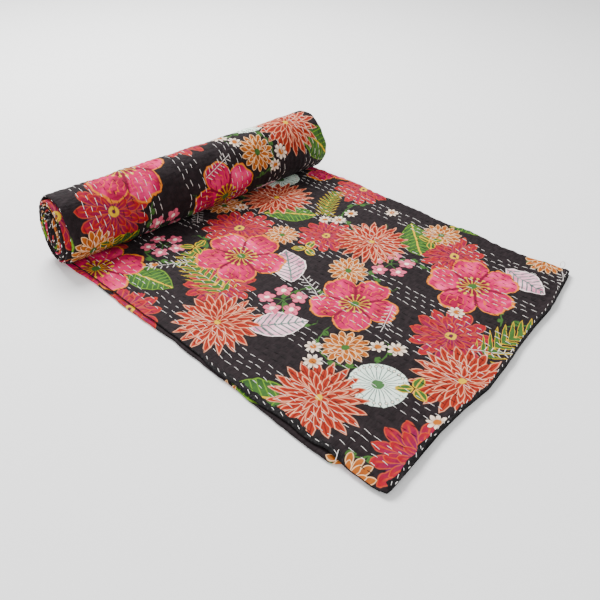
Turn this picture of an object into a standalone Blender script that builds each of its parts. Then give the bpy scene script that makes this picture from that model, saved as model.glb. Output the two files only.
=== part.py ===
"""A kantha quilt laid out for sale: folded in three along its length, then rolled up from one end.

The quilt is one piece of cloth, so it is one solid, made of two shapes that are joined:
  - the flat end, one back-and-forth section of three layers, swept from under the roll to
    the front edge: the cloth's near side is turned in first, and its far side over it;
  - the roll, one wound form whose outline and end faces follow the spiral of the turns.
The rows of running stitches draw the cloth into ridges, which run along the flat end and
round the roll. X runs from the roll to the front edge, Y along the roll, Z up.
"""

import math

import bmesh
import bpy

# ---- driving dimensions, in metres ----
FOLDED_WIDTH = 0.508  # a third of the quilt's 1.524 m
FLAT_LENGTH = 0.597  # from the roll's axis to the front edge, at the near corner
CLOTH = 0.0016  # two cottons held together by the running stitches
LAYER_GAP = 0.0007  # air between two folded layers
HEM_CLOTH = 0.0023  # the cloth turned in twice along its edges
HEM_WIDTH = 0.009
HEM_SET_BACK = 0.0020  # the top layer's hem, behind the fold under it
HIDDEN_HEM_SET_BACK = 0.007  # the middle layer's hem, inside the far fold
ROW_COUNT = 48  # rows of running stitches across the folded width
RIDGE_HEIGHT = 0.0010  # of the cloth between two rows
ROLL_HALF_WIDE = 0.046
ROLL_HALF_HIGH = 0.0556
ROLL_FLAT_SPOT = 0.0014  # how far the roll is pressed flat on the surface
ROLL_SKEW = 0.026  # the far end of the roll lies this much nearer the front edge
TURN = 0.00465  # three layers, wound tight
SIDEWAYS_DRIFT = -0.005  # the first turn slides this far along the roll
FAR_END_PULLED_IN = 0.0035  # the far end over the top of the roll
RIM_COVER = 0.0015  # the roll's ends reach this far past the cloth that runs under it

# The front edge, from the near corner to the far one: it is bowed, and its far corner
# lies nearer the roll. Columns: share of the width, reach past the near corner.
FRONT_EDGE = ((0.0, 0.002), (0.25, -0.007), (0.45, -0.005), (0.63, -0.016), (0.80, -0.022),
              (0.92, -0.035), (1.0, -0.047))
# The two folded sides. Columns: share of the length, how far the fold stands out.
NEAR_FOLD = ((0.0, 0.002), (0.30, 0.003), (0.45, 0.002), (0.62, 0.004), (0.74, 0.010),
             (0.87, 0.012), (1.0, 0.002))
FAR_FOLD = ((0.0, -0.002), (0.20, 0.001), (0.40, -0.005), (0.60, -0.004), (0.68, 0.001),
            (0.78, -0.006), (1.0, 0.004))
# How far each of the three layers reaches past the front edge, from the bottom one up.
LAYER_REACH = (-0.0020, 0.0012, 0.0)
# Places where the top layer lies loose. Columns: share of the length and of the width,
# half length and half width of the swell, its rise.
SWELLS = ((0.22, 0.35, 0.060, 0.130, 0.0016), (0.50, 0.72, 0.080, 0.080, 0.0022),
          (0.62, 0.25, 0.090, 0.070, 0.0014), (0.95, 0.03, 0.035, 0.035, 0.0030),
          (0.83, 0.60, 0.060, 0.110, 0.0018))
MIDDLE_SWELL = 0.4  # the middle layer's share of the top layer's rise

# ---- how finely the shapes are divided ----
RUN_POINTS = 7  # along a hidden side of a layer
FLAT_STATIONS = 8  # between the roll and the front hem
ROUND_POINTS = 28  # round the roll
END_RINGS = 14  # on the roll's end faces, two for each turn


def smooth(share):
    """0 to 1, level at both ends."""
    share = min(max(share, 0.0), 1.0)
    return share * share * (3.0 - 2.0 * share)


def slope(rows, at):
    """The slope of a table at one of its rows, from the rows on both sides of it."""
    before, after = rows[max(at - 1, 0)], rows[min(at + 1, len(rows) - 1)]
    return (after[1] - before[1]) / (after[0] - before[0])


def along(rows, share):
    """The second column of a table, on a smooth cubic curve through its rows."""
    share = min(max(share, rows[0][0]), rows[-1][0])
    at = max(row for row in range(len(rows) - 1) if rows[row][0] <= share)
    (start, low), (end, high) = rows[at], rows[at + 1]
    part = (share - start) / (end - start)
    bend = part * (1.0 - part) * (end - start)
    return (low + (high - low) * smooth(part)
            + bend * ((1.0 - part) * slope(rows, at) - part * slope(rows, at + 1)))


def near_edge(share):
    return -along(NEAR_FOLD, share)


def far_edge(share):
    return FOLDED_WIDTH + along(FAR_FOLD, share)


def roll_axis(across):
    """The X of the roll's axis, for a share of the width."""
    return ROLL_SKEW * across


def ridge(across):
    """The height of the ridges between the rows of stitches, 0 on a row."""
    return RIDGE_HEIGHT * (0.5 - 0.5 * math.cos(2.0 * math.pi * ROW_COUNT * across))


def ridge_shares():
    """Shares of the width on every row and every ridge."""
    return [step / (2 * ROW_COUNT) for step in range(2 * ROW_COUNT + 1)]


# ---- the flat end ----

def swell(share, across):
    """How far the top layer rises where it lies loose."""
    rise = 0.0
    for middle, side, half_length, half_width, height in SWELLS:
        away = math.hypot((share - middle) * FLAT_LENGTH / half_length,
                          (across - side) * FOLDED_WIDTH / half_width)
        rise += height * math.exp(-away * away)
    return rise


def layer_levels(share, across, hem, end):
    """Heights of the lower and upper sides of the three layers, six in all.

    hem goes from 0 on plain cloth to 1 on the front hem, and end is the share of the
    layer's thickness that its rounded front edge takes off on each side."""
    thick = CLOTH + (HEM_CLOTH - CLOTH) * hem
    levels = []
    for layer in range(3):
        lift = swell(share, across) * (0.0, MIDDLE_SWELL, 1.0)[layer]
        low = layer * (thick + LAYER_GAP) + lift
        levels += [low + end * thick, low + thick - end * thick]
    return levels


def run(side, start, finish, start_inset, finish_inset):
    """A hidden side of a layer: points from one share of the width to another."""
    points = []
    for step in range(RUN_POINTS):
        part = step / (RUN_POINTS - 1)
        points.append((start + (finish - start) * part,
                       start_inset + (finish_inset - start_inset) * part, side, side, 0.0, 0.0))
    return points


def half_apart(low, high):
    """Half the distance between two sides of layers, on plain cloth."""
    levels = layer_levels(0.0, 0.0, 0.0, 0.0)
    return (levels[high] - levels[low]) / 2.0


def turned(across, inset, outward, start, finish, angles):
    """The round of a fold or a hem, from one side of a layer to another."""
    radius = abs(half_apart(start, finish))
    return [(across, inset + outward * radius * math.cos(math.radians(angle)), start, finish,
             (1.0 + math.sin(math.radians(angle))) / 2.0, 0.0) for angle in angles]


def fold_section():
    """The section of the fold, once round: the middle layer goes from its hem to the near
    fold, the bottom one back from there to the far fold, and the top one to its own hem.

    Each point is a share of the width, an inset, the two sides it lies between (0 and 1
    are the lower and upper sides of the bottom layer, 4 and 5 those of the top one), its
    share of the way from one to the other, and whether it carries ridges."""
    far = half_apart(0, 5)
    near = half_apart(0, 3)
    hem = half_apart(4, 5)
    hidden = -HIDDEN_HEM_SET_BACK
    section = run(0, 1.0, 0.0, -far, near)
    section += turned(0.0, near, -1, 0, 3, (-60, -20, 20, 60))
    section += run(3, 0.0, 1.0, near, hidden)
    section += turned(1.0, hidden, 1, 3, 2, (-40, 40))
    section += run(2, 1.0, 0.0, hidden, near)
    section += turned(0.0, near, -1, 2, 1, (-40, 40))
    section += run(1, 0.0, 1.0, near, -far)
    section += turned(1.0, -far, 1, 1, 4, (-60, -20, 20, 60))
    section += run(4, 1.0, 0.0, -far, HEM_SET_BACK + hem)
    section += turned(0.0, HEM_SET_BACK + hem, -1, 4, 5, (-40, 0, 40))
    section += [(0.0, HEM_SET_BACK + reach, 5, 5, 0.0, 0.5) for reach in (0.0010, 0.0063)]
    for across in ridge_shares():
        if HEM_SET_BACK + HEM_WIDTH < across * FOLDED_WIDTH < FOLDED_WIDTH - far:
            section.append((across, 0.0, 5, 5, 0.0, 1.0))
    section.append((1.0, -far, 5, 5, 0.0, 0.0))
    section += turned(1.0, -far, 1, 5, 0, (-65, -40, -15, 15, 40, 65))
    return section


def flat_stations():
    """Columns: share of the way from the roll's axis to the front hem, distance from
    there, hem from 0 to 1, rounding of the edge, lift off the surface.

    The last distances are from the front edge. The cloth runs in under the roll, a
    hair above its flat spot."""
    hair = 0.00025
    stations = [(0.0, -0.006, 0.0, 0.0, hair), (0.0, -0.001, 0.0, 0.0, hair)]
    stations += [(0.0, 0.005, 0.0, 0.0, 0.0), (0.0, 0.020, 0.0, 0.0, 0.0)]
    for step in range(1, FLAT_STATIONS):
        stations.append((step / FLAT_STATIONS, 0.020, 0.0, 0.0, 0.0))
    stations += [(1.0, -HEM_WIDTH - 0.003, 0.0, 0.0, 0.0), (1.0, -HEM_WIDTH, 1.0, 0.0, 0.0),
                 (1.0, -0.0012, 1.0, 0.0, 0.0), (1.0, 0.0, 1.0, 0.28, 0.0)]
    return stations


def flat_point(point, station):
    """Where a point of the section lies at a station."""
    across, inset, low, high, weight, ridged = point
    share, reach, hem, end, lift = station
    near, far = near_edge(share), far_edge(share)
    y = near + across * (far - near) + inset
    place = min(max(y / FOLDED_WIDTH, 0.0), 1.0)
    layer_reach = LAYER_REACH[low // 2] + (LAYER_REACH[high // 2] - LAYER_REACH[low // 2]) * weight
    axis = roll_axis(place)
    front = FLAT_LENGTH + along(FRONT_EDGE, place) + layer_reach
    x = axis + share * (front - axis) + reach
    levels = layer_levels(share, place, hem, end)
    z = levels[low] + (levels[high] - levels[low]) * weight + lift
    return x, y, z + ridge(place) * ridged * (1.0 - hem)


def make_flat(name):
    """The flat end: the section at every station, bridged, with both ends filled."""
    section = fold_section()
    mesh = bmesh.new()
    rings = [[mesh.verts.new(flat_point(point, station)) for point in section]
             for station in flat_stations()]
    count = len(section)
    for ring, following in zip(rings, rings[1:]):
        for at in range(count):
            after = (at + 1) % count
            mesh.faces.new((ring[at], ring[after], following[after], following[at]))
    mesh.faces.new(rings[0][::-1])
    mesh.faces.new(rings[-1])
    return finish_mesh(mesh, name)


# ---- the roll ----

def drift(turns):
    """How far the cloth has slid along the roll after some turns, from the outside in."""
    inner = max(turns - 1.0, 0.0)
    return SIDEWAYS_DRIFT * smooth(turns) + 0.0016 * math.sin(2.4 * inner) * smooth(inner)


def roll_point(step, ring, across, edge_groove):
    """A point of the roll: round it from the bottom, up the back, over the top and down
    the front, on a ring counted in half turns from the outside, at a share of its width."""
    turn = step / ROUND_POINTS
    angle = 2.0 * math.pi * turn
    inwards = TURN * (turn + ring / 2.0)
    clear_of_floor = smooth((turn - 0.05) / 0.08) * smooth((0.95 - turn) / 0.08)
    uneven = 0.0005 * math.sin(5.0 * across + 1.0) + 0.0003 * math.sin(13.0 * across)
    swollen = (uneven + ridge(across)) * clear_of_floor - inwards
    x = roll_axis(across) - (ROLL_HALF_WIDE + swollen) * math.sin(angle)
    z = ROLL_HALF_HIGH - (ROLL_HALF_HIGH + swollen) * math.cos(angle) - ROLL_FLAT_SPOT
    wound = drift(turn + ring / 2.0)
    near = near_edge(0.0) - RIM_COVER + wound + edge_groove
    far = far_edge(0.0) + RIM_COVER + wound - edge_groove
    far -= FAR_END_PULLED_IN * (0.5 - 0.5 * math.cos(angle)) * (1.0 if ring < 2 else 0.3)
    return x, near + (far - near) * across, max(z, 0.0)


def roll_outline():
    """Step and ring of each point round the outside: once round, then in along the
    step where the outer turn lies over the next."""
    outline = [(step, 0) for step in range(ROUND_POINTS)]
    return outline + [(0, 2), (0, 1)]


def fill_end(mesh, outline, across):
    """An end face: rings that wind inwards, so that the last point of a ring meets the
    ring two further in, with a groove between one turn and the next."""
    verts = dict(outline)
    for step in range(ROUND_POINTS):
        for ring in range(1, END_RINGS + 1):
            if (step, ring) not in verts:
                groove = 0.0024 if ring % 2 == 0 else 0.0
                verts[step, ring] = mesh.verts.new(roll_point(step, ring, across, groove))
    last = ROUND_POINTS - 1
    for ring in range(END_RINGS):
        for step in range(last):
            mesh.faces.new((verts[step, ring], verts[step, ring + 1],
                            verts[step + 1, ring + 1], verts[step + 1, ring]))
    for ring in range(END_RINGS - 2):
        mesh.faces.new((verts[last, ring], verts[last, ring + 1],
                        verts[0, ring + 3], verts[0, ring + 2]))
    inner = [verts[step, END_RINGS] for step in range(ROUND_POINTS)]
    inner += [verts[last, END_RINGS - 1], verts[last, END_RINGS - 2]]
    middle = mesh.verts.new(sum((vert.co for vert in inner), inner[0].co * 0.0) / len(inner))
    for at, vert in enumerate(inner):
        mesh.faces.new((vert, middle, inner[(at + 1) % len(inner)]))


def make_roll(name):
    """The roll: its outline at every ridge and row, bridged, with two wound end faces."""
    mesh = bmesh.new()
    outline = roll_outline()
    rings = [[mesh.verts.new(roll_point(step, ring, across, 0.0)) for step, ring in outline]
             for across in ridge_shares()]
    count = len(outline)
    for ring, following in zip(rings, rings[1:]):
        for at in range(count):
            after = (at + 1) % count
            mesh.faces.new((ring[at], ring[after], following[after], following[at]))
    fill_end(mesh, list(zip(outline, rings[0])), 0.0)
    fill_end(mesh, list(zip(outline, rings[-1])), 1.0)
    return finish_mesh(mesh, name)


# ---- building ----

def finish_mesh(mesh, name):
    """An object from a bmesh, its faces turned outwards."""
    bmesh.ops.recalc_face_normals(mesh, faces=mesh.faces)
    data = bpy.data.meshes.new(name)
    mesh.to_mesh(data)
    mesh.free()
    made = bpy.data.objects.new(name, data)
    bpy.context.collection.objects.link(made)
    return made


def cotton():
    """Printed cotton, taken as its dark ground."""
    material = bpy.data.materials.new("printed cotton")
    material.use_nodes = True
    surface = material.node_tree.nodes["Principled BSDF"]
    surface.inputs["Base Color"].default_value = (0.16, 0.05, 0.06, 1.0)
    surface.inputs["Roughness"].default_value = 0.85
    surface.inputs["Metallic"].default_value = 0.0
    return material


def centre_on_footprint(shapes):
    """Move the shapes so that the middle of their footprint is the origin."""
    xs = [vert.co.x for shape in shapes for vert in shape.data.vertices]
    ys = [vert.co.y for shape in shapes for vert in shape.data.vertices]
    for shape in shapes:
        for vert in shape.data.vertices:
            vert.co.x -= (min(xs) + max(xs)) / 2.0
            vert.co.y -= (min(ys) + max(ys)) / 2.0


def build():
    for old in list(bpy.data.objects):
        bpy.data.objects.remove(old, do_unlink=True)
    quilt = make_flat("quilt")
    roll = make_roll("roll_shape")
    centre_on_footprint((quilt, roll))
    quilt.data.materials.append(cotton())
    join = quilt.modifiers.new("join the roll", "BOOLEAN")
    join.operation = "UNION"
    join.solver = "EXACT"
    join.object = roll
    roll.hide_render = True
    roll.display_type = "WIRE"


build()
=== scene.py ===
import bpy
import numpy as np
from mathutils import Matrix, Vector


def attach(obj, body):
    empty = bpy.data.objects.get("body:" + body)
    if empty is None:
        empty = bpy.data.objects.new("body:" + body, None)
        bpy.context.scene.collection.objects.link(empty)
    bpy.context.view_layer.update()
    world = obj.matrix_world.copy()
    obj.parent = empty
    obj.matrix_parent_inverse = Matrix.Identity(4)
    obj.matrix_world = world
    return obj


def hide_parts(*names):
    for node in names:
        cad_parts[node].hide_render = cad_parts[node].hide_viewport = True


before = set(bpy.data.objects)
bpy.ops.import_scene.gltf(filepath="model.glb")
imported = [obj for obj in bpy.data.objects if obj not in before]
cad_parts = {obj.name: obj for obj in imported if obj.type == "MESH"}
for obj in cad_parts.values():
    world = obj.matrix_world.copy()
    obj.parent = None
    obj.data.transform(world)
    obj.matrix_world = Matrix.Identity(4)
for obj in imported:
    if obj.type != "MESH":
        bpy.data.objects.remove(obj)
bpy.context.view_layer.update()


# ---- camera ----
# The quilt is seen from above its near front corner, with the roll at the upper left.
# The place, the lens and the slight tilt follow the outline in the photograph.
azimuth, elevation, tilt = np.radians((42.28, 36.59, 1.70))
looks_at, distance = Vector((0.0349, -0.0712, 0.0)), 0.9342
away = Vector((np.sin(azimuth) * np.cos(elevation), -np.cos(azimuth) * np.cos(elevation),
               np.sin(elevation)))
level = Vector((0.0, 0.0, 1.0)).cross(away).normalized()
upright = away.cross(level)
view_right = level * np.cos(tilt) + upright * np.sin(tilt)
view_up = upright * np.cos(tilt) - level * np.sin(tilt)

camera_data = bpy.data.cameras.new("camera")
camera_data.sensor_width = 36.0
camera_data.lens = 40.07
camera = bpy.data.objects.new("camera", camera_data)
camera.matrix_world = (Matrix.Translation(looks_at + away * distance)
                       @ Matrix((view_right, view_up, away)).transposed().to_4x4())
bpy.context.collection.objects.link(camera)
bpy.context.scene.camera = camera


# ---- quilt cloth ----
# One thin quilted cotton cloth, 1.524 x 2.286 m. It is folded in three like a letter, and
# most of that strip is wound into a roll at its far end, with the underside outwards.
# Rows of running stitches draw it into soft ridges, and its edges are turned-in black hems.
WIDE, LONG = 1.524, 2.286
THIRD = WIDE / 3.0
COTTON = 0.0013  # thickness of the quilted cloth
TIGHT_GAP, LOOSE_GAP = 0.00013, 0.00115  # air between two layers, in the roll and lying flat
HEM_RISE, HEM_WIDTH = 0.0006, 0.0092
HEM_HANGS = 0.0033  # how far the top hem droops at the near front corner
HIDDEN_BACK = 0.007  # how far the hidden hem stays inside the far fold
CORNER_WIDE, CORNER_CUT = 0.008, 0.0020  # the rounding of the near front corner
ROW_START, ROW_STEP = 0.0094, THIRD / 48.0  # the rows of running stitches
STITCH_PITCH, ROW_SHIFT = 0.015, 0.618034  # along a row, and the shift from row to row
FLAT_END = 0.597  # from the front hem to the roll's axis
ROLL_WIDE, ROLL_HIGH, FLAT_SPOT, ROLL_SKEW = 0.046, 0.0556, 0.0014, 0.026
TURN = 0.00435  # one turn of the three layers
MIDDLE_HEIGHT = 0.0021  # middle of the three layers, by which the strip's length is wound
OUTER_TURNS, INNER_STEP = 1.06, 1.0 / 20.0  # the roll's outside, and the rows within it
CENTRE_X, CENTRE_Y = 0.277079, 0.250086  # from the roll's near end to the middle

# how far the front edge stands out, by the share of the way across
FRONT_EDGE = ((0.0, 0.0064), (0.08, 0.0034), (0.17, -0.0025), (0.30, -0.0035), (0.39, -0.0012),
              (0.47, -0.0035), (0.56, -0.0095), (0.70, -0.0190), (0.80, -0.0220), (0.90, -0.0325),
              (1.0, -0.0440))
# how far the two folds stand out, and how far the near hem lies in from the straight near
# side, by the share of the way from the roll's axis to the front
NEAR_FOLD = ((0.0, 0.0040), (0.06, 0.0035), (0.15, 0.0012), (0.22, 0.0032), (0.32, 0.0036),
             (0.42, 0.0018), (0.52, 0.0042), (0.62, 0.0050), (0.70, 0.0075), (0.80, 0.0098),
             (0.885, 0.0090), (0.915, -0.0040), (1.0, -0.0050))
NEAR_HEM = ((0.0, 0.0018), (0.45, 0.0018), (0.58, -0.0036), (0.85, -0.0044), (0.93, -0.0048),
            (1.0, -0.0044))
FAR_FOLD = ((0.0, -0.002), (0.06, -0.005), (0.15, -0.0070), (0.22, -0.0020), (0.30, -0.0075),
            (0.40, -0.0060), (0.50, -0.0070), (0.60, -0.0090), (0.67, -0.0030), (0.76, -0.0075),
            (0.86, -0.0060), (0.94, 0.0010), (1.0, 0.0040))
# broad swells, then creases: share of the way to the front and across, heading in degrees,
# half length, half width and rise
SWELLS = ((0.22, 0.35, 0.0, 0.060, 0.130, 0.0016), (0.50, 0.72, 0.0, 0.080, 0.080, 0.0022),
          (0.62, 0.25, 0.0, 0.090, 0.070, 0.0014), (0.95, 0.03, 0.0, 0.035, 0.035, 0.0030),
          (0.83, 0.60, 0.0, 0.060, 0.110, 0.0018), (0.915, 0.015, 62.0, 0.060, 0.0070, -0.0026),
          (0.868, 0.020, 70.0, 0.055, 0.0080, 0.0024), (0.950, 0.060, 40.0, 0.050, 0.0080, 0.0020),
          (0.700, 0.400, 12.0, 0.090, 0.0110, 0.0014), (0.420, 0.550, -18.0, 0.110, 0.0120, 0.0013),
          (0.300, 0.200, 25.0, 0.080, 0.0100, 0.0012), (0.560, 0.860, -8.0, 0.080, 0.0090, 0.0013),
          (0.120, 0.600, 82.0, 0.150, 0.0090, 0.0016), (0.880, 0.780, -30.0, 0.070, 0.0100, 0.0013))


def easy(share):
    """0 to 1, level at both ends: 3 share squared less 2 share cubed."""
    share = np.clip(share, 0.0, 1.0)
    return share * share * (3.0 - 2.0 * share)


def along(rows, share):
    """A cubic curve through the rows of a table, whose slope at each row is that of the
    line between the rows on both sides of it."""
    x, y = np.array(rows).T
    row = np.arange(len(x))
    before, after = np.maximum(row - 1, 0), np.minimum(row + 1, len(x) - 1)
    slope = (y[after] - y[before]) / (x[after] - x[before])
    share = np.clip(share, x[0], x[-1])
    at = np.clip(np.searchsorted(x, share, "right") - 1, 0, len(x) - 2)
    span = x[at + 1] - x[at]
    part = (share - x[at]) / span
    bend = part * (1.0 - part) * span
    return (y[at] + (y[at + 1] - y[at]) * easy(part)
            + bend * ((1.0 - part) * slope[at] - part * slope[at + 1]))


def above_zero(value, soft):
    """The value where it is above 0 and 0 below, with a rounded corner between."""
    return (value + np.sqrt(value * value + soft * soft)) / 2.0


def wound(turn, height):
    """Where a point of the strip lies behind the roll's axis and above the floor, from its
    turn and its height in the stack: an ellipse that shrinks by one stack each turn,
    pressed flat where it stands on the turn below."""
    angle = 2.0 * np.pi * turn
    wide = above_zero(ROLL_WIDE - TURN * turn - height, 0.001)
    high = ROLL_HIGH - TURN * turn - height
    return (-wide * np.sin(angle), TURN * turn + height
            + above_zero(high * (1.0 - np.cos(angle)) - FLAT_SPOT, 0.0006))


turn_steps = np.linspace(0.0, 10.2, 7501)
wound_x, wound_z = wound(turn_steps, MIDDLE_HEIGHT)
wound_length = np.concatenate(([0.0], np.cumsum(np.hypot(np.diff(wound_x), np.diff(wound_z)))))


def turns_at(s):
    """Turns wound at a distance s from the front hem, from the length of the spiral."""
    return np.interp(s - FLAT_END, wound_length, turn_steps)


def to_front(s):
    """Share of the way from the roll's axis to the front, 0 in the roll."""
    return np.clip(1.0 - s / FLAT_END, 0.0, 1.0)


def waves(a, b, size, seed):
    """Slow unevenness between about -1 and 1: a mean of six sines over a and b."""
    dice = np.random.default_rng(seed)
    total = 0.0
    for _ in range(6):
        heading, phase = dice.uniform(0.0, 2.0 * np.pi, 2)
        pace = 2.0 * np.pi / (size * dice.uniform(0.6, 1.6))
        total = total + np.sin(pace * (a * np.cos(heading) + b * np.sin(heading)) + phase)
    return total / 2.6


def strip_sides(u, s):
    """The near and the far side of the strip, from how far each fold stands out and some
    waves. Wound cloth wraps a little wider, slides sideways by a sine of its turn, and leans
    out or in by a cosine of its angle; inside the first turn the near end lies deeper."""
    turn, share = turns_at(s), to_front(s)
    angle = 2.0 * np.pi * turn
    inner = np.maximum(turn - 1.0, 0.0)
    slid = (-0.005 * easy(turn) + 0.0014 * np.sin(2.4 * inner) * easy(inner)
            + 0.0011 * waves(s, 0.4 * np.floor(u / THIRD), 0.055, 12) * easy((turn - 0.2) / 0.3))
    wrap = 0.0015 * easy(turn / 0.06)
    leans = easy(turn / 0.12) * (1.0 - 0.7 * easy((turn - 0.9) / 0.2))
    deeper = easy((turn - 1.0) / 0.25)
    near = (-along(NEAR_FOLD, share) - wrap + slid + 0.0050 * easy(turn / 0.12) * (1.0 - deeper)
            - 0.0035 * np.cos(angle - 5.2) * deeper + 0.0005 * waves(s, 0.0, 0.030, 13))
    far = (THIRD + along(FAR_FOLD, share) + wrap + slid
           - (0.0018 + 0.0076 * np.cos(angle - 2.8)) * leans
           + 0.0008 * waves(s, 0.0, 0.040, 14) + 0.0007 * waves(s, 0.0, 0.014, 18))
    return near, far


def swelling(share, place):
    """How far the flat end rises: for each swell or crease its rise, less by the square of
    the way along it and of the way across it (a bell curve)."""
    swell = 0.0
    for at, side, heading, half_length, half_width, rise in SWELLS:
        ahead, sideways = (share - at) * FLAT_END, (place - side) * THIRD
        cosine, sine = np.cos(np.radians(heading)), np.sin(np.radians(heading))
        swell = swell + rise * np.exp(-((ahead * cosine + sideways * sine) / half_length) ** 2
                                      - ((sideways * cosine - ahead * sine) / half_width) ** 2)
    return swell


def lay(u, s, out):
    """Where a point of the cloth lies. u runs across the unfolded cloth from the top near
    hem, s from the front hem, and out is the distance from the cloth's middle plane.

    Across, the layers are joined by two half rounds, one from the top layer down to the
    bottom one round the far fold, one up to the middle one round the near fold: the cloth
    turns by the angle alpha, half a turn at each, and its face points to (sine, cosine) of
    alpha. Along, the strip is straight up to the axis and then wound."""
    turn, share = turns_at(s), to_front(s)
    loose = easy((share * FLAT_END - 0.025) / 0.035)
    gap = TIGHT_GAP + (LOOSE_GAP - TIGHT_GAP) * loose
    thick = COTTON + HEM_RISE * easy((HEM_WIDTH + 0.0008 - s) / 0.0012)

    # across: the two half rounds, and how far each of the three layers is run through
    far_radius, near_radius = thick + gap, (thick + gap) / 2.0
    far_arc, near_arc = np.pi * far_radius / 2.0, np.pi * near_radius / 2.0
    alpha = np.pi * (np.clip((u - THIRD + far_arc) / (2.0 * far_arc), 0.0, 1.0)
                     + np.clip((u - 2.0 * THIRD + near_arc) / (2.0 * near_arc), 0.0, 1.0))
    top_part = np.clip(u / (THIRD - far_arc), 0.0, 1.0)
    bottom_part = np.clip((u - THIRD - far_arc) / (THIRD - far_arc - near_arc), 0.0, 1.0)
    middle_part = np.clip((u - 2.0 * THIRD - near_arc) / (THIRD - near_arc), 0.0, 1.0)
    across = top_part - bottom_part + middle_part
    near, far = strip_sides(u, s)
    set_back = (along(NEAR_FOLD, share) + along(NEAR_HEM, share)
                + 0.0009 * waves(s, 0.0, 0.045, 11))
    inset = (set_back * (1.0 - top_part) - (far_radius + thick / 2.0) * (top_part - bottom_part)
             + (near_radius + thick / 2.0) * (bottom_part - middle_part) - HIDDEN_BACK * middle_part)
    y = near + across * (far - near) + inset
    round_far = u < 1.5 * THIRD
    y = y + (np.where(round_far, far_radius, near_radius) + out) * np.sin(alpha)
    place = np.clip(y / THIRD, 0.0, 1.0)

    # height: the middle of each layer, the half rounds between them, and a drooping hem
    swell = above_zero(swelling(share, place) + 0.0006 + 0.0004 * waves(s, y, 0.075, 4), 0.0004)
    bottom, middle, top = [(layer + 0.5) * thick + layer * gap + swell * loose * lift
                           for layer, lift in enumerate((0.0, 0.4, 1.0))]
    turned = np.cos(alpha)
    height = np.where(round_far, (top + bottom) / 2.0 + (top - bottom) / 2.0 * turned,
                      (middle + bottom) / 2.0 + (middle - bottom) / 2.0 * turned)
    uneven = (0.0006 * (1.0 + waves(s, y, 0.060, 15))
              * easy((turn - 0.05) / 0.12) * easy((0.98 - turn) / 0.12))
    hangs = (easy((near + 0.002 - y) / 0.010) * easy((share - 0.90) / 0.03)
             * (u < 0.5 * THIRD))
    height = height + out * turned - uneven - HEM_HANGS * hangs

    # along: from the roll's axis, which lies slightly askew, to the front edge
    axis = ROLL_SKEW * place
    layer_reach = 0.0012 * middle_part - 0.002 * (bottom_part - middle_part)
    front = FLAT_END + along(FRONT_EDGE, place) + layer_reach + 0.0007 * waves(0.0, y, 0.040, 16)
    corner = (np.clip(1.0 - s / CORNER_WIDE, 0.0, 1.0)
              * np.clip(1.0 - (y - near - set_back) / CORNER_WIDE, 0.0, 1.0)) ** 1.5
    behind, z = wound(turn, height)
    return np.stack((axis + share * (front - axis) + behind - CORNER_CUT * corner - CENTRE_X,
                     y + CORNER_CUT * corner - CENTRE_Y, np.maximum(z, 0.0)), axis=-1)


def from_edge(u, s):
    """Distance from the nearest edge of the unfolded cloth."""
    return np.minimum(np.minimum(u, WIDE - u), np.minimum(s, LONG - s))


def half_thick(u, s, side):
    """From the cloth's middle plane to its face (side 1) or its back (side -1).

    Between two rows the cloth rises as a power of the sine of the distance from a row, and
    on a row between its stitches; a hem is thicker, drawn in aslant by its own stitches, and
    edges are rounded. Only the face rises, and only where it lies free: on the top layer, and
    on the outside of the roll."""
    turn, share = turns_at(s), to_front(s)
    row = (u - ROW_START) / ROW_STEP
    sine = np.abs(np.sin(np.pi * row))
    phase = s / STITCH_PITCH + ROW_SHIFT * np.round(row)
    puffed = 0.00105 * sine ** 0.8 + 0.00030 * (1.0 - sine) * np.cos(2.0 * np.pi * phase)
    puffed = puffed * (1.0 + 0.35 * waves(u, s, 0.05, 9)) + 0.00022 * waves(u, s, 0.016, 7)
    on_top = easy((THIRD + 0.002 - u) / 0.004) * easy((share * FLAT_END - 0.018) / 0.03)
    on_roll = (easy((u - THIRD) / 0.004) * easy((2.0 * THIRD - u) / 0.004)
               * easy((turn - 0.05) / 0.08) * easy((1.03 - turn) / 0.06))
    free = (on_top + on_roll) * (side > 0)
    inside = from_edge(u, s)
    plain = easy((inside - HEM_WIDTH) / 0.0012)
    edge = np.clip(inside, 0.0, 0.0009) / 0.0009
    rounded = np.maximum(np.sqrt(1.0 - (1.0 - edge) ** 2), 0.2)
    aslant = (s + u - inside) / 0.012 + inside / 0.016
    drawn_in = 0.30 * np.cos(2.0 * np.pi * aslant) * (turn < 0.02)
    bowed = 0.55 + 0.45 * np.sin(np.pi * np.clip(inside / HEM_WIDTH, 0.0, 1.0))
    hem = HEM_RISE * (1.0 - plain) * (0.5 if side < 0 else 1.0 + drawn_in)
    hem = hem * np.where(s < 0.02, 0.6, 1.0) * bowed
    return (COTTON / 2.0 + hem) * rounded + puffed * free * plain


def black_width(u, s):
    """How far a hem's black lining shows. Along the front it narrows away from the near
    corner and widens at the far one. Along the near side it shows most between the near
    corner and the middle of the flat end, and again inside the roll."""
    front = along(((0.0, 0.0076), (0.10, 0.0070), (0.20, 0.0050), (0.40, 0.0036), (0.75, 0.0032),
                   (0.93, 0.0026), (0.975, 0.0055), (1.0, 0.0065)), u / THIRD)
    near = along(((0.0, 0.0014), (0.052, 0.0014), (0.064, 0.0074), (0.235, 0.0070),
                  (0.300, 0.0014), (0.600, 0.0014), (0.900, 0.0060)), s)
    width = np.where(s <= np.minimum(u, WIDE - u), front, near)
    return width * (1.0 + 0.14 * waves(u, s, 0.022, 17))


hem_points = np.array((0.0, 0.00025, 0.0008, 0.0018, 0.0045, 0.0078, 0.0093))
far_points, near_points = np.linspace(-0.0042, 0.0042, 13), np.linspace(-0.0023, 0.0023, 8)
fine_step = ROW_STEP / 4.0


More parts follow.
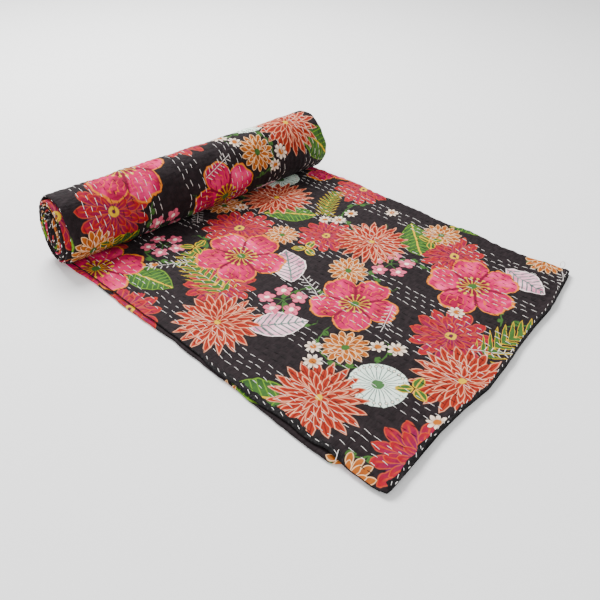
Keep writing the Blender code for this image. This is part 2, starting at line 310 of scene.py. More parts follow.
def crossing(fine_top=False, fine_bottom=False):
    """Values of u for one side of the cloth: hems and folds close together, the rest wide
    apart except on the third that lies in view, where each row has four steps."""
    def between(start, end, fine):
        if not fine:
            return np.linspace(start, end, 11)[1:-1]
        steps = ROW_START + fine_step * np.arange(1, int(WIDE / fine_step))
        return steps[(steps > start + 0.001) & (steps < end - 0.001)]
    first, second = THIRD + far_points, 2.0 * THIRD + near_points
    return np.concatenate((
        hem_points, between(hem_points[-1], first[0], fine_top), first,
        between(first[-1], second[0], fine_bottom), second,
        between(second[-1], WIDE - hem_points[-1], False), WIDE - hem_points[::-1]))


# rows of points for the flat end, the roll's outside and its inner turns
outer_length = np.interp(OUTER_TURNS, turn_steps, wound_length)
edge_rows = np.array((0.0, 0.0003, 0.0009, 0.002, 0.005, 0.0085, 0.0098))
inner_turns = np.arange(OUTER_TURNS + INNER_STEP, turns_at(LONG) - 0.02, INNER_STEP)
inner_rows = FLAT_END + np.interp(inner_turns, turn_steps, wound_length)
zones = (
    (np.concatenate((edge_rows, np.arange(0.013, FLAT_END - 0.010, 0.0037))),
     crossing(fine_top=True), crossing()),
    (np.arange(FLAT_END - 0.008, FLAT_END + outer_length, 0.0036),
     crossing(fine_bottom=True), crossing()),
    (np.concatenate((inner_rows, (LONG - 0.0008, LONG - 0.0002, LONG))), crossing(), crossing()),
)

points, marks, rows_of = [], [], []
point_count = 0
for rows, face_u, back_u in zones:
    ring_u = np.concatenate((face_u, back_u[::-1]))
    on_face = np.arange(len(ring_u)) < len(face_u)
    s_grid, u_grid = np.meshgrid(rows, ring_u, indexing="ij")
    out = np.where(on_face, half_thick(u_grid, s_grid, 1), -half_thick(u_grid, s_grid, -1))
    points.append(lay(u_grid, s_grid, out).reshape(-1, 3))
    unrolled = np.where(on_face, u_grid, 2.0 * WIDE - u_grid)
    from_black = from_edge(u_grid, s_grid) / black_width(u_grid, s_grid)
    marks.append(np.stack((s_grid, unrolled, from_black), axis=-1).reshape(-1, 3))
    grid = point_count + np.arange(u_grid.size).reshape(u_grid.shape)
    rows_of.append((grid, np.where(on_face, ring_u, 2.0 * WIDE - ring_u), len(face_u)))
    point_count += grid.size
points, marks = np.concatenate(points), np.concatenate(marks)


def zip_up(a, a_at, b, b_at):
    """Triangles between two chains of points that have other numbers of points: each edge
    of a chain meets the point of the other chain that its middle lies beside."""
    a_mid, b_mid = (a_at[1:] + a_at[:-1]) / 2.0, (b_at[1:] + b_at[:-1]) / 2.0
    beside_a = b[np.searchsorted(b_mid, a_mid, "left")]
    beside_b = a[np.searchsorted(a_mid, b_mid, "right")]
    return np.concatenate((np.stack((a[:-1], a[1:], beside_a), axis=1),
                           np.stack((b[1:], b[:-1], beside_b), axis=1)))


# walls within each zone, seams between two zones, and the two ends of the cloth
quads, triangles = [], []
for grid, _, _ in rows_of:
    after = np.roll(grid, -1, axis=1)
    quads.append(np.stack((grid[:-1], after[:-1], after[1:], grid[1:]), axis=-1).reshape(-1, 4))
for (grid, at, _), (next_grid, next_at, _) in zip(rows_of, rows_of[1:]):
    triangles.append(zip_up(grid[-1], at, next_grid[0], next_at))
    quads.append(np.array([[grid[-1, -1], grid[-1, 0], next_grid[0, 0], next_grid[0, -1]]]))
for (grid, at, count), row, turned_over in ((rows_of[0], 0, False), (rows_of[-1], -1, True)):
    face, back = grid[row, :count], grid[row, count:][::-1]
    cap = zip_up(face, at[:count], back, (2.0 * WIDE - at[count:])[::-1])
    triangles.append(cap if turned_over else cap[:, ::-1])
quads, triangles = np.concatenate(quads), np.concatenate(triangles)


def make_mesh(name, points, quads, triangles):
    """An object whose mesh has these points and faces, put in as whole arrays, with its
    faces turned outwards: where the volume comes out below zero they are turned over."""
    split = np.concatenate((quads[:, (0, 1, 2)], quads[:, (0, 2, 3)], triangles))
    corner = points[split]
    volume = np.einsum("ij,ij->i", corner[:, 0], np.cross(corner[:, 1], corner[:, 2])).sum()
    if volume < 0.0:
        quads, triangles = quads[:, ::-1], triangles[:, ::-1]
    data = bpy.data.meshes.new(name)
    data.vertices.add(len(points))
    data.vertices.foreach_set("co", points.astype(np.float32).ravel())
    corners = np.concatenate((quads.ravel(), triangles.ravel())).astype(np.int32)
    starts = np.concatenate((np.arange(len(quads)) * 4,
                             len(quads) * 4 + np.arange(len(triangles)) * 3)).astype(np.int32)
    data.loops.add(len(corners))
    data.loops.foreach_set("vertex_index", corners)
    data.polygons.add(len(starts))
    data.polygons.foreach_set("loop_start", starts)
    data.polygons.foreach_set("use_smooth", np.ones(len(starts), bool))
    data.update(calc_edges=True)
    made = bpy.data.objects.new(name, data)
    bpy.context.collection.objects.link(made)
    return made, corners, starts


cloth, cloth_corners, cloth_starts = make_mesh("quilt_cloth", points, quads, triangles)
cloth_map = cloth.data.uv_layers.new(name="cloth")
cloth_map.data.foreach_set("uv", marks[cloth_corners, :2].astype(np.float32).ravel())
edge_mark = cloth.data.attributes.new("edge", "FLOAT", "POINT")
edge_mark.data.foreach_set("value", np.minimum(marks[:, 2], 3.0).astype(np.float32))

# The print repeats over the cloth. Each figure has its kind, its middle, its half size and
# its turn, in millimetres and degrees; a face takes the nearest figure of each layer.
REPEAT, PRINT_START = np.array((0.620, 0.520)), np.array((0.240, -0.035))
FIGURES = {
    "vines": ((0, 150, 190, 60, 20), (0, 370, 330, 62, 150), (0, 545, 190, 56, 250),
              (0, 120, 460, 58, 300), (0, 400, 20, 56, 80), (0, 590, 360, 54, 10),
              (0, 270, 170, 58, 200), (0, 20, 210, 50, 330), (0, 455, 350, 46, 60)),
    "behind": ((2, 146, 152, 54, 50), (0, 22, 150, 42, 125), (2, 374, 92, 60, 0),
               (3, 230, 88, 46, 165), (1, 476, 154, 40, 0), (2, 248, 278, 62, 20),
               (0, 114, 258, 44, 40), (2, 462, 290, 60, 50), (2, 130, 362, 52, 0),
               (3, 12, 458, 50, 225), (1, 340, 456, 40, 0), (3, 224, 372, 46, 140),
               (2, 558, 458, 60, 10), (0, 436, 474, 40, 200), (3, 568, 42, 50, 325),
               (2, 192, 12, 60, 30)),
    "sprays": ((0, 190, 152, 62, 15), (1, 548, 178, 34, 0), (0, 392, 346, 62, 118),
               (2, 56, 190, 40, 10), (0, 206, 448, 46, 60), (1, 424, 22, 35, 0),
               (2, 620, 374, 40, 30), (2, 288, 160, 38, 50),
               (1, 330, 316, 34, 20), (1, 606, 500, 36, 60),
               (1, 40, 314, 34, 195), (1, 184, 314, 30, 0)),
    "blooms": ((0, 84, 94, 64, 0), (1, 302, 50, 75, 12), (0, 516, 88, 64, 40),
               (1, 182, 224, 74, 50), (0, 408, 228, 66, 80), (1, 602, 258, 67, 200),
               (0, 62, 400, 65, 120), (0, 284, 398, 66, 15), (1, 492, 410, 76, 90)),
    "small": ((0, 250, 116, 13, 0), (2, 240, 128, 36, 120), (1, 440, 178, 24, 20),
              (0, 560, 130, 14, 0), (0, 578, 150, 12, 30), (2, 50, 242, 36, 200),
              (1, 250, 190, 24, 260), (0, 500, 222, 14, 0), (0, 520, 208, 12, 20),
              (2, 334, 262, 34, 40), (1, 128, 312, 24, 140), (0, 300, 330, 13, 0),
              (2, 404, 300, 34, 330), (0, 150, 416, 14, 0), (0, 168, 402, 12, 10),
              (1, 610, 470, 24, 60), (2, 380, 500, 36, 250), (0, 150, 448, 13, 0),
              (0, 390, 150, 13, 0), (0, 480, 340, 13, 0),
              (2, 548, 262, 32, 70), (0, 96, 500, 13, 0)),
}
corner_count = np.diff(np.append(cloth_starts, len(cloth_corners)))
corner_uv = marks[cloth_corners, :2]
face_uv = np.add.reduceat(corner_uv, cloth_starts) / corner_count[:, None]
for layer, figures in FIGURES.items():
    table = np.array(figures, float)
    middles = table[:, 1:3] / 1000.0
    sizes, turned_by = table[:, 3] / 1000.0, np.radians(table[:, 4])
    apart = face_uv[:, None] - middles - PRINT_START
    apart = apart - REPEAT * np.round(apart / REPEAT)
    nearest = np.argmin(np.hypot(apart[..., 0], apart[..., 1]) / sizes, axis=1)
    middle = face_uv - apart[np.arange(len(face_uv)), nearest]
    local = corner_uv - np.repeat(middle, corner_count, axis=0)
    which = np.repeat(nearest, corner_count)
    cosine, sine = np.cos(turned_by[which]), np.sin(turned_by[which])
    placed = np.stack((cosine * local[:, 0] + sine * local[:, 1],
                       cosine * local[:, 1] - sine * local[:, 0]), axis=1) / sizes[which, None]
    mark = cloth.data.attributes.new(layer, "FLOAT_VECTOR", "CORNER")
    mark.data.foreach_set("vector", np.column_stack((placed, table[which, 0]))
                          .astype(np.float32).ravel())

cotton = bpy.data.materials.new("printed quilted cotton")
cotton.use_nodes = True
nodes, links = cotton.node_tree.nodes, cotton.node_tree.links
cotton_surface = nodes["Principled BSDF"]


class Ink:
    """A number that varies over the print. Sums, products and the like are Math nodes."""

    def __init__(self, socket):
        self.socket = socket

    def __add__(self, other):
        return ink("ADD", self, other)

    def __sub__(self, other):
        return ink("SUBTRACT", self, other)

    def __mul__(self, other):
        return ink("MULTIPLY", self, other)

    __radd__, __rmul__ = __add__, __mul__

    def __rsub__(self, other):
        return ink("SUBTRACT", other, self)


def join(value, socket):
    """Link an ink to a socket, or set a plain number on it."""
    if isinstance(value, Ink):
        links.new(value.socket, socket)
    else:
        socket.default_value = value


def ink(operation, *values, clamped=False):
    """One Math node, held within 0 to 1 where it is clamped."""
    node = nodes.new("ShaderNodeMath")
    node.operation, node.use_clamp = operation, clamped
    for value, socket in zip(values, node.inputs):
        join(value, socket)
    return Ink(node.outputs[0])


def cover(depth, soft=0.03):
    """1 where a depth inside an outline is above 0, 0 outside, with a soft edge."""
    return ink("MULTIPLY_ADD", depth, 1.0 / soft, 0.5, clamped=True)


def line(value, half, soft=0.03):
    """1 where a value is within half of 0."""
    return cover(half - ink("ABSOLUTE", value), soft)


def dyed(under, over, mask):
    """One colour over another, where the mask is 1."""
    node = nodes.new("ShaderNodeMix")
    node.data_type = "RGBA"
    join(mask, node.inputs[0])
    for value, socket in ((under, node.inputs[6]), (over, node.inputs[7])):
        if isinstance(value, tuple):
            socket.default_value = (*value, 1.0)
        else:
            links.new(value, socket)
    return node.outputs[2]


def grain(vector, scale, detail=1.0):
    """Noise from 0 to 1 at a place."""
    node = nodes.new("ShaderNodeTexNoise")
    node.noise_dimensions = "2D"
    links.new(vector, node.inputs["Vector"])
    node.inputs["Scale"].default_value = scale
    node.inputs["Detail"].default_value = detail
    return Ink(node.outputs[0])


def apart_by(x, y):
    """Length of the line to a place: the root of the sum of the squares."""
    return ink("SQRT", x * x + y * y)


def figure(layer):
    """A layer's place in its figure, its distance and turn from the middle, its kind."""
    mark = nodes.new("ShaderNodeAttribute")
    mark.attribute_name = layer
    parts = nodes.new("ShaderNodeSeparateXYZ")
    links.new(mark.outputs["Vector"], parts.inputs[0])
    x, y, kind = (Ink(parts.outputs[at]) for at in range(3))
    return x, y, apart_by(x, y), ink("ARCTAN2", y, x) * (0.5 / np.pi), kind


def is_kind(kind, number):
    """1 on the figures of one kind, 0 on the others of their layer."""
    return ink("COMPARE", kind, number, 0.3)


def way(value, start, end):
    """0 at the start, 1 at the end, and nothing beyond."""
    return ink("MULTIPLY_ADD", value, 1.0 / (end - start), -start / (end - start), clamped=True)


def sector(around, count, shift=0.0):
    """0 on the middle line of each of the equal parts round a figure, 1 on their borders."""
    return ink("ABSOLUTE", ink("FRACT", around * count + shift) - 0.5) * 2.0


def petals(away, around, count, root, tip, blunt, shift):
    """Depth inside a ring of petals, and the way along them. A petal's half width is 0.92
    less a power of the way from its root to its tip, so that a high power makes it blunt."""
    reach = way(away, root, tip)
    aside = sector(around, count, shift)
    return 0.92 - ink("POWER", reach, blunt) - aside, reach, aside


def ring_of_petals(under, shape, root_colour, tip_colour, rim, rim_width, vein=None):
    """A ring of petals over what lies below: shaded from root to tip, with a pale rim, and
    with a thin vein up the middle where its colour is given."""
    depth, reach, aside = shape
    shade = dyed(root_colour, tip_colour, reach)
    if vein:
        shade = dyed(shade, vein, cover(0.10 - aside, 0.12) * cover(0.72 - reach, 0.2))
    shade = dyed(rim, shade, cover(depth - rim_width, 0.15))
    return dyed(under, shade, cover(depth, 0.15))


def flower(heart, rings, away, around, blunt, *finish):
    """A flower of one or more rings of petals over its heart, the widest ring first, and
    the depth inside the petals of the widest."""
    outline = None
    for count, root, tip, shift in rings:
        shape = petals(away, around, count, root, tip, blunt, shift)
        outline = outline or shape[0]
        heart = ring_of_petals(heart, shape, *finish)
    return heart, outline


def leaf_shape(x, y, plump):
    """Depth inside a pointed leaf along x, whose half width is plump (1 less x squared)."""
    return plump * (1.0 - x * x) - ink("ABSOLUTE", y)


def side_veins(x, y, count, lean):
    """-0.5 to 0.5 and back across the veins that run forward from a leaf's middle."""
    return ink("FRACT", x * count - ink("ABSOLUTE", y) * lean) - 0.5


map_node = nodes.new("ShaderNodeUVMap")
map_node.uv_map = "cloth"
on_cloth = map_node.outputs[0]
hand = grain(on_cloth, 80.0, 2.0) - 0.5  # the slight unevenness of a hand-cut outline
blots = grain(on_cloth, 30.0, 2.0)
mottle = grain(on_cloth, 120.0, 2.0)
CREAM, YELLOW, OCHRE = (0.95, 0.80, 0.66), (0.60, 0.36, 0.004), (0.38, 0.105, 0.008)
LEAF_GREEN, DEEP_GREEN, LIME = (0.036, 0.100, 0.018), (0.010, 0.034, 0.011), (0.11, 0.23, 0.012)
PLUM, SLATE, TEAL = (0.0062, 0.0035, 0.0043), (0.09, 0.15, 0.13), (0.035, 0.10, 0.085)
colour = dyed(PLUM, (0.0190, 0.0120, 0.0138), blots * 0.45 + way(mottle, 0.38, 0.68) * 0.45)

# green vines: most of a circle, with small leaves on both sides by turns
x, _, away, around, _ = figure("vines")
bent = away - 0.8 + hand * 0.10
bud = ink("FRACT", around * 13.0) - 0.5
aside = ink("ABSOLUTE", bent - 0.07 * ink("SIGN", ink("SINE", around * (np.pi * 13.0))))
small_leaves = cover(0.075 - aside - bud * bud * 0.9, 0.02)
vine = ink("MAXIMUM", line(bent, 0.020, 0.012), small_leaves) * cover(x + 0.35, 0.05)
colour = dyed(colour, LEAF_GREEN, vine)

# behind the blooms: pale leaves, mint seed heads, red zinnias and broad green leaves
x, y, away, around, kind = figure("behind")
depth = leaf_shape(x, y, 0.60) + hand * 0.08
pale = dyed((0.62, 0.17, 0.30), (0.92, 0.60, 0.68), blots * 3.0 - 1.1)
pale = dyed(pale, SLATE, line(side_veins(x, y, 4.5, 3.2), 0.15, 0.06))
pale = dyed(pale, SLATE, line(y, 0.030, 0.012))
pale = dyed((0.95, 0.82, 0.80), pale, cover(depth - 0.045, 0.02))
colour = dyed(colour, pale, cover(depth) * is_kind(kind, 0.0))

spoke = sector(around, 26.0) * away * (np.pi / 26.0)
mint = dyed((0.60, 0.76, 0.64), (0.82, 0.90, 0.80), blots)
mint = dyed(mint, TEAL, cover(0.013 - spoke, 0.012) * cover(away - 0.22, 0.02))
from_spot = apart_by(spoke, away - 0.80)
mint = dyed(mint, TEAL, cover(0.060 - from_spot, 0.02))
mint = dyed(mint, CREAM, cover(0.034 - from_spot, 0.02))
mint = dyed(mint, (0.05, 0.13, 0.04), cover(0.20 - away, 0.02))
colour = dyed(colour, mint, cover(0.92 + hand * 0.06 - away, 0.02) * is_kind(kind, 1.0))

zinnia, outline = flower((0.09, 0.006, 0.06), ((13.0, 0.42, 0.98, 0.0), (11.0, 0.24, 0.72, 0.5),
                                               (8.0, 0.06, 0.46, 0.2)),
                         away + hand * 0.08, around, 4.5, (0.11, 0.0035, 0.068),
                         (0.33, 0.0050, 0.0030), (0.50, 0.075, 0.009), 0.11, (0.42, 0.040, 0.005))
zinnia = dyed(zinnia, YELLOW, cover(0.13 - away, 0.02))
zinnia = dyed(zinnia, (0.09, 0.01, 0.04), cover(0.05 - away, 0.02))
shown = ink("MAXIMUM", cover(outline, 0.15), cover(0.70 - away))
colour = dyed(colour, zinnia, shown * is_kind(kind, 2.0))

depth = leaf_shape(x, y, 0.56) + hand * 0.06
green = dyed(DEEP_GREEN, LEAF_GREEN, cover(depth - 0.10, 0.4))
green = dyed(green, LIME, line(side_veins(x, y, 5.5, 3.0), 0.09, 0.06))
green = dyed(green, YELLOW, line(y, 0.028, 0.012))
green = dyed(LIME, green, cover(depth - 0.035, 0.02))
colour = dyed(colour, green, cover(depth) * is_kind(kind, 3.0))

# fern sprays, marigolds and rings of little pink blossoms
x, y, away, around, kind = figure("sprays")
bowed = y - 0.16 * x * x + hand * 0.05
half_way = ink("ABSOLUTE", bowed)
outer = way(half_way, 0.0, 0.46) + ink("ABSOLUTE", x) * 0.12
blade = 0.40 * (1.0 - outer * outer) - ink("ABSOLUTE", side_veins(x, bowed, 4.5, 4.0))
inside = cover(ink("MAXIMUM", blade * 0.22, 0.024 - half_way), 0.012)
fern = dyed(YELLOW, LEAF_GREEN, cover(blade - 0.075, 0.05))
colour = dyed(colour, fern, inside * cover(0.97 - ink("ABSOLUTE", x), 0.01)
              * cover(0.50 - half_way, 0.01) * is_kind(kind, 0.0))

marigold, outline = flower((0.14, 0.03, 0.005), ((14.0, 0.45, 0.98, 0.0), (11.0, 0.22, 0.72, 0.5),
                                                 (7.0, 0.0, 0.45, 0.2)),
                           away, around, 4.0, (0.26, 0.050, 0.006), OCHRE,
                           (0.86, 0.54, 0.28), 0.18)
marigold = dyed(marigold, LEAF_GREEN, cover(0.16 - away, 0.03))
shown = ink("MAXIMUM", cover(outline, 0.15), cover(0.70 - away))
colour = dyed(colour, marigold, shown * is_kind(kind, 1.0))

within = (ink("FRACT", around * 5.0) - 0.5) * (2.0 * np.pi / 5.0)  # five blossoms in a ring
from_x, from_y = away * ink("COSINE", within) - 0.60, away * ink("SINE", within)
from_middle = apart_by(from_x, from_y)
lobes = ink("ABSOLUTE", ink("COSINE", ink("ARCTAN2", from_y, from_x) * 2.5))
blossom = dyed((0.60, 0.10, 0.17), CREAM, cover(0.09 - from_middle, 0.03))
colour = dyed(colour, blossom, cover(0.20 + 0.13 * lobes - from_middle) * is_kind(kind, 2.0))
twigs = line(from_y, 0.018, 0.012) * cover(0.45 - away)
colour = dyed(colour, LEAF_GREEN, twigs * is_kind(kind, 2.0))

# the blooms: coral dahlias with pointed petals, and wide hot-pink roses with a dark throat
_, _, away, around, kind = figure("blooms")
dahlia, outline = flower((0.12, 0.008, 0.005), ((19.0, 0.52, 1.00, 0.0), (17.0, 0.36, 0.83, 0.5),
                                                (14.0, 0.20, 0.64, 0.25), (10.0, 0.06, 0.44, 0.0),
                                                (6.0, 0.0, 0.25, 0.4)),
                         away + hand * 0.08, around, 2.0, (0.20, 0.008, 0.0035),
                         (0.40, 0.034, 0.008), (0.88, 0.42, 0.25), 0.11, (0.15, 0.006, 0.004))
dahlia = dyed(dahlia, YELLOW, cover(0.07 - away, 0.02))
shown = ink("MAXIMUM", cover(outline, 0.15), cover(0.72 - away))
colour = dyed(colour, dahlia, shown * is_kind(kind, 0.0))

THROAT, ANTHERS = (0.15, 0.001, 0.020), 0.31  # its colour, and how far out they stand
aside = sector(around, 5.0)
reach = (ink("SQRT", 1.0 - aside * aside * 0.58) * 0.98 - cover(0.16 - aside, 0.40) * 0.09
         + hand * 0.10)
depth = reach - away
pink = dyed((0.49, 0.0014, 0.080), (0.88, 0.052, 0.225), way(blots + away * 0.10, 0.62, 0.90))
pink = dyed(pink, (0.27, 0.0006, 0.033), way(blots - away * 0.15, 0.44, 0.22))
streak = line(ink("FRACT", around * 30.0 + hand * 1.6) - 0.5, 0.06, 0.06)
streak = streak * cover(away - 0.44, 0.10) * cover(depth - 0.16, 0.08)
pink = dyed(pink, (0.62, 0.12, 0.012), streak)
pink = dyed(pink, THROAT, cover(0.030 - (1.0 - aside) * away * 0.6, 0.03))
pink = dyed(pink, THROAT, cover(0.30 - away + hand * 0.20, 0.12))
pink = dyed(pink, (0.62, 0.17, 0.012), cover(0.045 - depth, 0.02))
spoke = sector(around, 15.0) * away * (np.pi / 15.0)
pink = dyed(pink, YELLOW, cover(0.011 - spoke, 0.010) * cover(ANTHERS - away) * 0.8)
pink = dyed(pink, YELLOW, cover(0.032 - apart_by(spoke, away - ANTHERS), 0.014))
pink = dyed(pink, LEAF_GREEN, cover(0.09 - away, 0.02))
colour = dyed(colour, pink, cover(depth, 0.02) * is_kind(kind, 1.0))

# small ones: cream daisies, three leaves on a stalk, and white herringbone sprigs
x, y, away, around, kind = figure("small")
daisy, outline = flower(PLUM, ((8.0, 0.30, 1.0, 0.0),), away, around, 3.0,
                        (0.56, 0.36, 0.22), CREAM, CREAM, 0.05)
daisy = dyed(daisy, OCHRE, cover(0.36 - away, 0.06))
shown = ink("MAXIMUM", cover(outline, 0.15), cover(0.4 - away))
colour = dyed(colour, daisy, shown * is_kind(kind, 0.0))
aside = sector(around, 3.0) * away
trio = 0.30 * (1.0 - (away * 2.1 - 1.1) * (away * 2.1 - 1.1)) - aside
leaves = dyed(YELLOW, LEAF_GREEN, cover(trio - 0.06, 0.04))
leaves = dyed(leaves, YELLOW, cover(0.035 - aside, 0.02))
colour = dyed(colour, leaves, cover(trio) * is_kind(kind, 1.0))
side_of = ink("ABSOLUTE", y)
sprig = (line(side_veins(x, y, 4.0, -2.0), 0.075, 0.05) * cover(0.26 - side_of, 0.04)
         * cover(0.9 - away) * cover(side_of - 0.07, 0.04))
sprig = ink("MAXIMUM", sprig, cover(0.014 - side_of, 0.014) * cover(0.95 - away))
colour = dyed(colour, (0.62, 0.57, 0.54), sprig * is_kind(kind, 2.0))

# the hems are black with painted grey highlights, and the cotton has its weave and fine creases
edge_node = nodes.new("ShaderNodeAttribute")
edge_node.attribute_name = "edge"
hem_mask = cover(1.0 + hand * 0.7 - Ink(edge_node.outputs["Fac"]), 0.06)
# painted highlights: random grey streaks on the black hems stand in for light catching their
# rope-like twist
hem_painted_highlights = way(grain(on_cloth, 260.0), 0.50, 0.75)
black = dyed((0.0040, 0.0033, 0.0037), (0.017, 0.015, 0.016), hem_painted_highlights)
links.new(dyed(colour, black, hem_mask), cotton_surface.inputs["Base Color"])
cotton_surface.inputs["Roughness"].default_value = 0.82
cotton_surface.inputs["Specular IOR Level"].default_value = 0.14
cotton_surface.inputs["Sheen Weight"].default_value = 0.02
cotton_surface.inputs["Sheen Roughness"].default_value = 0.4
weave, crease = grain(on_cloth, 1500.0), grain(on_cloth, 130.0, 3.0)
drawn = nodes.new("ShaderNodeMapping")  # small puckers across the rows of stitches
drawn.inputs["Scale"].default_value = (2.6, 1.0, 1.0)
links.new(on_cloth, drawn.inputs["Vector"])
pucker = grain(drawn.outputs[0], 95.0)
relief = nodes.new("ShaderNodeBump")
relief.inputs["Strength"].default_value = 0.75
relief.inputs["Distance"].default_value = 0.0012
join(weave * 0.10 + crease * 0.55 + pucker * 1.1, relief.inputs["Height"])
links.new(relief.outputs[0], cotton_surface.inputs["Normal"])
cloth.data.materials.append(cotton)

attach(cloth, "root")
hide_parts("quilt")


# ---- running stitches ----
# White and dark cotton thread, sewn by hand through the whole quilt in rows a finger's
# breadth apart, four rows of each by turns, with more stitches along the hems and folds.
# Each stitch lies on the cloth with its two ends pulled into it.
RINGS, SIDES = 4, 5  # of one stitch


def stitch_points(u, s, length, heading, width=0.00037, high=0.00033):
    """Points of many stitches: four rings of five along each. A stitch runs along the cloth
    at a heading, 0 along the rows and a quarter turn along the front. The rings swell in its
    middle, and its ends dip into the cloth."""
    part = np.array((-1.0, -0.55, 0.55, 1.0))[:, None]
    swell_of = np.array((0.45, 1.0, 1.0, 0.45))[:, None]
    rise = np.array((-0.00030, 0.00026, 0.00026, -0.00030))[:, None]
    round_it = 2.0 * np.pi * np.arange(SIDES) / SIDES
    ahead = (length / 2.0)[:, None, None] * part
    aside = width * swell_of * np.cos(round_it)
    cosine, sine = np.cos(heading)[:, None, None], np.sin(heading)[:, None, None]
    s_at = np.clip(s[:, None, None] + ahead * cosine - aside * sine, 0.0, LONG)
    u_at = np.clip(u[:, None, None] + ahead * sine + aside * cosine, 0.0, WIDE)
    middle_s = np.clip(s[:, None, None] + ahead * cosine, 0.0, LONG)
    middle_u = np.clip(u[:, None, None] + ahead * sine, 0.0, WIDE)
    out = half_thick(middle_u, middle_s, 1) + rise + high * swell_of * np.sin(round_it)
    return lay(u_at, s_at, out)


def sew(name, batches, thread):
    """One piece from batches of stitches: five walls between each two rings, two ends."""
    rings = np.concatenate(batches)
    first = np.arange(len(rings))[:, None, None] * (RINGS * SIDES)
    ring, side = np.divmod(np.arange((RINGS - 1) * SIDES), SIDES)
    here, beside = SIDES * ring + side, SIDES * ring + (side + 1) % SIDES
    walls = np.stack((here, beside, beside + SIDES, here + SIDES), axis=1)
    ends = np.array([(0, 2, 1), (0, 3, 2), (0, 4, 3), (15, 16, 17), (15, 17, 18), (15, 18, 19)])
    made, _, _ = make_mesh(name, rings.reshape(-1, 3), (first + walls).reshape(-1, 4),
                           (first + ends).reshape(-1, 3))
    made.data.materials.append(thread)
    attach(made, "root")


def thread_finish(name, shade):
    """Cotton thread: matt, with painted streaks of shade that stand in for the light and dark of its
    fine twist.
    """
    thread = bpy.data.materials.new(name)
    thread.use_nodes = True
    tree = thread.node_tree
    surface = tree.nodes["Principled BSDF"]
    surface.inputs["Roughness"].default_value = 0.7
    surface.inputs["Specular IOR Level"].default_value = 0.3
    place = tree.nodes.new("ShaderNodeTexCoord")
    twist = tree.nodes.new("ShaderNodeTexNoise")
    twist.inputs["Scale"].default_value = 900.0
    tree.links.new(place.outputs["Object"], twist.inputs["Vector"])
    # painted shade: noise mixes in streaks at 0.72 of the thread's colour, standing in for the lit
    # and shaded twist
    shades = tree.nodes.new("ShaderNodeMix")
    shades.data_type = "RGBA"
    shades.inputs[6].default_value = (*[value * 0.72 for value in shade], 1.0)
    shades.inputs[7].default_value = (*shade, 1.0)
    tree.links.new(twist.outputs[0], shades.inputs[0])
    tree.links.new(shades.outputs[2], surface.inputs["Base Color"])
    return thread


white_thread = thread_finish("white cotton thread", (0.92, 0.87, 0.83))
dark_thread = thread_finish("dark cotton thread", (0.0034, 0.0026, 0.0030))


def sewn_rows(first_row, last_row, start, end, seed):
    """Middles, lengths and headings of the stitches on some rows, each row shifted by a part
    of a stitch that never repeats, with chance differences. White where the band is even."""
    dice = np.random.default_rng(seed)
    row, number = np.meshgrid(np.arange(first_row, last_row + 1),
                              np.arange(int((end - start) / STITCH_PITCH) + 3), indexing="ij")
    row, number = row.ravel(), number.ravel()
    s = (start + (number - np.mod(ROW_SHIFT * row, 1.0)) * STITCH_PITCH
         + dice.normal(0.0, 0.0014, len(row)))
    u = ROW_START + row * ROW_STEP + 0.0007 * np.sin(s / 0.021 + 1.7 * row)
    u = u + dice.normal(0.0, 0.0003, len(row))
    length = np.clip(dice.normal(0.0096, 0.0018, len(row)), 0.0050, 0.0132)
    heading = dice.normal(0.0, 0.06, len(row))
    keep = ((s - length / 2.0 > start) & (s + length / 2.0 < end)
            & (dice.uniform(0.0, 1.0, len(row)) > 0.05))
    band = np.mod((row - 1) // 4, 2) == 0
    return u[keep], s[keep], length[keep], heading[keep], band[keep]


def edge_stitches(start, end, pitch, length, inside, heading, seed, front=False, thread=()):
    """Points of the stitches along the near hem or fold, or along the front: from start to
    end at a pitch, this far in from the cloth's edge, with chance differences."""
    dice = np.random.default_rng(seed)
    at = np.arange(start, end, pitch)
    at = at + dice.normal(0.0, 0.0009, len(at))
    inside = inside + dice.normal(0.0, 0.0004, len(at))
    length = np.clip(dice.normal(length, 0.0011, len(at)), 0.004, 0.011)
    heading = heading + dice.normal(0.0, 0.10, len(at))
    u, s = (at, inside) if front else (inside, at)
    return stitch_points(u, s, length, heading, *thread)


top_rows = sewn_rows(0, 46, 0.0105, FLAT_END - 0.012, 21)
roll_rows = sewn_rows(48, 94, FLAT_END + 0.010, FLAT_END + outer_length - 0.010, 22)
FINE, FINEST = (0.00037, 0.00028), (0.00024, 0.00028)  # width and height of thinner thread
quarter_turn, roll_from, roll_to = np.pi / 2.0, FLAT_END + 0.03, LONG - 0.02
# white: near hem, its rim and the near fold in the roll, front hem, and its rim at the corner
white_edges = [
    edge_stitches(0.070, 0.290, 0.0132, 0.0070, 0.0044, 0.30, 23, thread=FINE),
    edge_stitches(roll_from, roll_to, 0.0125, 0.0048, 0.0010, -0.15, 24, thread=FINEST),
    edge_stitches(roll_from, roll_to, 0.0210, 0.0040, 2.0 * THIRD, 0.20, 28, thread=FINEST),
    edge_stitches(0.012, THIRD - 0.008, 0.0118, 0.0056, 0.0040, quarter_turn - 0.42, 25, True, FINE),
    edge_stitches(0.018, 0.30 * THIRD, 0.026, 0.0036, 0.0009, quarter_turn + 0.1, 26, True, FINE),
]
# dark: along the near hem's inner line, and the near fold in the roll
dark_edges = [
    edge_stitches(0.066, 0.300, 0.0088, 0.0062, 0.0084, 0.50, 27),
    edge_stitches(roll_from, roll_to, 0.0092, 0.0056, 2.0 * THIRD, 0.75, 29),
]
for name, batches, white, thread in (("stitches_white", white_edges, True, white_thread),
                                     ("stitches_dark", dark_edges, False, dark_thread)):
    for u, s, length, heading, band in (top_rows, roll_rows):
        same = band == white
        batches.append(stitch_points(u[same], s[same], length[same], heading[same]))
    sew(name, batches, thread)


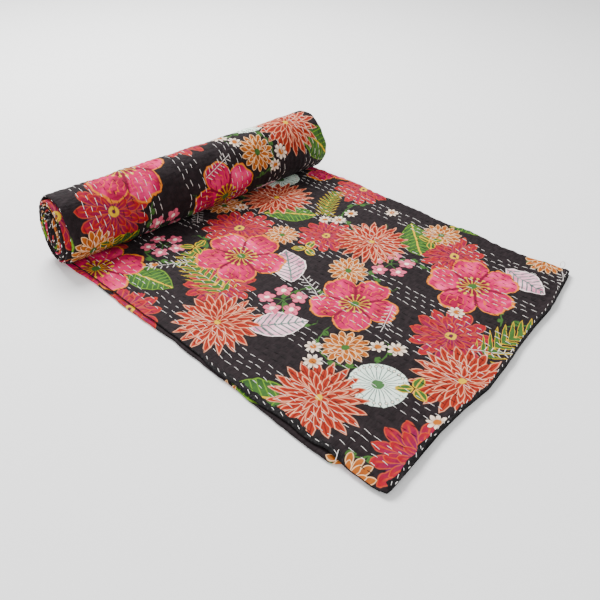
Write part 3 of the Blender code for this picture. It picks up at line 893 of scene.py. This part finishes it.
# ---- loose thread ends ----
# Two ends of the white sewing thread that were left uncut, one looped at the far front
# corner and one trailing from the near hem. Each hangs free from its last stitch.
def loose_thread(name, start, bends, thick, steps=40, sides=6):
    """A thread along a smooth curve: from its start it steps through the bends, each given
    as (along x, along y, up), and the curve is the weighted mean of its points (Bezier)."""
    route = np.cumsum(np.vstack((start, bends)), axis=0)
    share = np.linspace(0.0, 1.0, steps)[:, None, None]
    path = np.repeat(route[None], steps, axis=0)
    while path.shape[1] > 1:
        path = path[:, :-1] * (1.0 - share) + path[:, 1:] * share
    path = path[:, 0]
    ahead = np.gradient(path, axis=0)
    ahead /= np.linalg.norm(ahead, axis=1)[:, None]
    aside = np.cross(ahead, (0.3, 0.2, 0.93))
    aside /= np.linalg.norm(aside, axis=1)[:, None]
    upward = np.cross(aside, ahead)
    round_it = (2.0 * np.pi * np.arange(sides) / sides)[None, :, None]
    rings = path[:, None] + thick * (np.cos(round_it) * aside[:, None]
                                     + np.sin(round_it) * upward[:, None])
    grid = np.arange(steps * sides).reshape(steps, sides)
    beside = np.roll(grid, -1, axis=1)
    walls = np.stack((grid[:-1], beside[:-1], beside[1:], grid[1:]), axis=-1).reshape(-1, 4)
    caps = np.array([(grid[0, 0], grid[0, k + 1], grid[0, k]) for k in range(1, sides - 1)]
                    + [(grid[-1, 0], grid[-1, k], grid[-1, k + 1]) for k in range(1, sides - 1)])
    made, _, _ = make_mesh(name, rings.reshape(-1, 3), walls, caps)
    made.data.materials.append(white_thread)
    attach(made, "root")
    return made


far_corner = lay(THIRD - 0.003, 0.013, half_thick(THIRD - 0.003, 0.013, 1))
near_stitch = lay(0.0095, 0.070, half_thick(0.0095, 0.070, 1))
loop_end = loose_thread("thread_loop", far_corner,
                        ((0.004, 0.003, 0.004), (-0.003, 0.005, 0.006), (-0.009, -0.004, 0.001),
                         (0.004, -0.004, -0.009)), thick=0.00050)
trailing_end = loose_thread("thread_end", near_stitch,
                            ((0.001, -0.003, 0.0035), (0.004, -0.005, 0.0005),
                             (0.002, -0.006, -0.0035)), thick=0.00042)


# ---- floor and light ----
# A plain pale floor just under the quilt. A wide soft lamp stands behind the roll, a wider
# and weaker one in front of the flat end, and even light comes from all round.
wide, under = 6, -0.0004
floor_data = bpy.data.meshes.new("floor")
floor_data.from_pydata([(-wide, -wide, under), (wide, -wide, under), (wide, wide, under),
                        (-wide, wide, under)], [], [(0, 1, 2, 3)])
floor = bpy.data.objects.new("floor", floor_data)
bpy.context.collection.objects.link(floor)
paper = bpy.data.materials.new("pale floor")
paper.use_nodes = True
paper.node_tree.nodes["Principled BSDF"].inputs["Base Color"].default_value = (0.92, 0.92, 0.92, 1.0)
paper.node_tree.nodes["Principled BSDF"].inputs["Roughness"].default_value = 0.9
floor_data.materials.append(paper)

for name, place, size, power in (("key", (-1.3, 0.3, 1.7), 1.0, 101.0),
                                 ("fill", (1.6, -1.6, 1.7), 2.2, 35.0)):
    lamp_data = bpy.data.lights.new(name, "AREA")
    lamp_data.size, lamp_data.energy = size, power
    lamp = bpy.data.objects.new(name, lamp_data)
    lamp.location = place
    lamp.rotation_euler = (-Vector(place)).to_track_quat("-Z", "Y").to_euler()
    bpy.context.collection.objects.link(lamp)
world = bpy.data.worlds.new("studio")
world.use_nodes = True
world.node_tree.nodes["Background"].inputs["Color"].default_value = (1.0, 1.0, 1.0, 1.0)
world.node_tree.nodes["Background"].inputs["Strength"].default_value = 0.85
bpy.context.scene.world = world
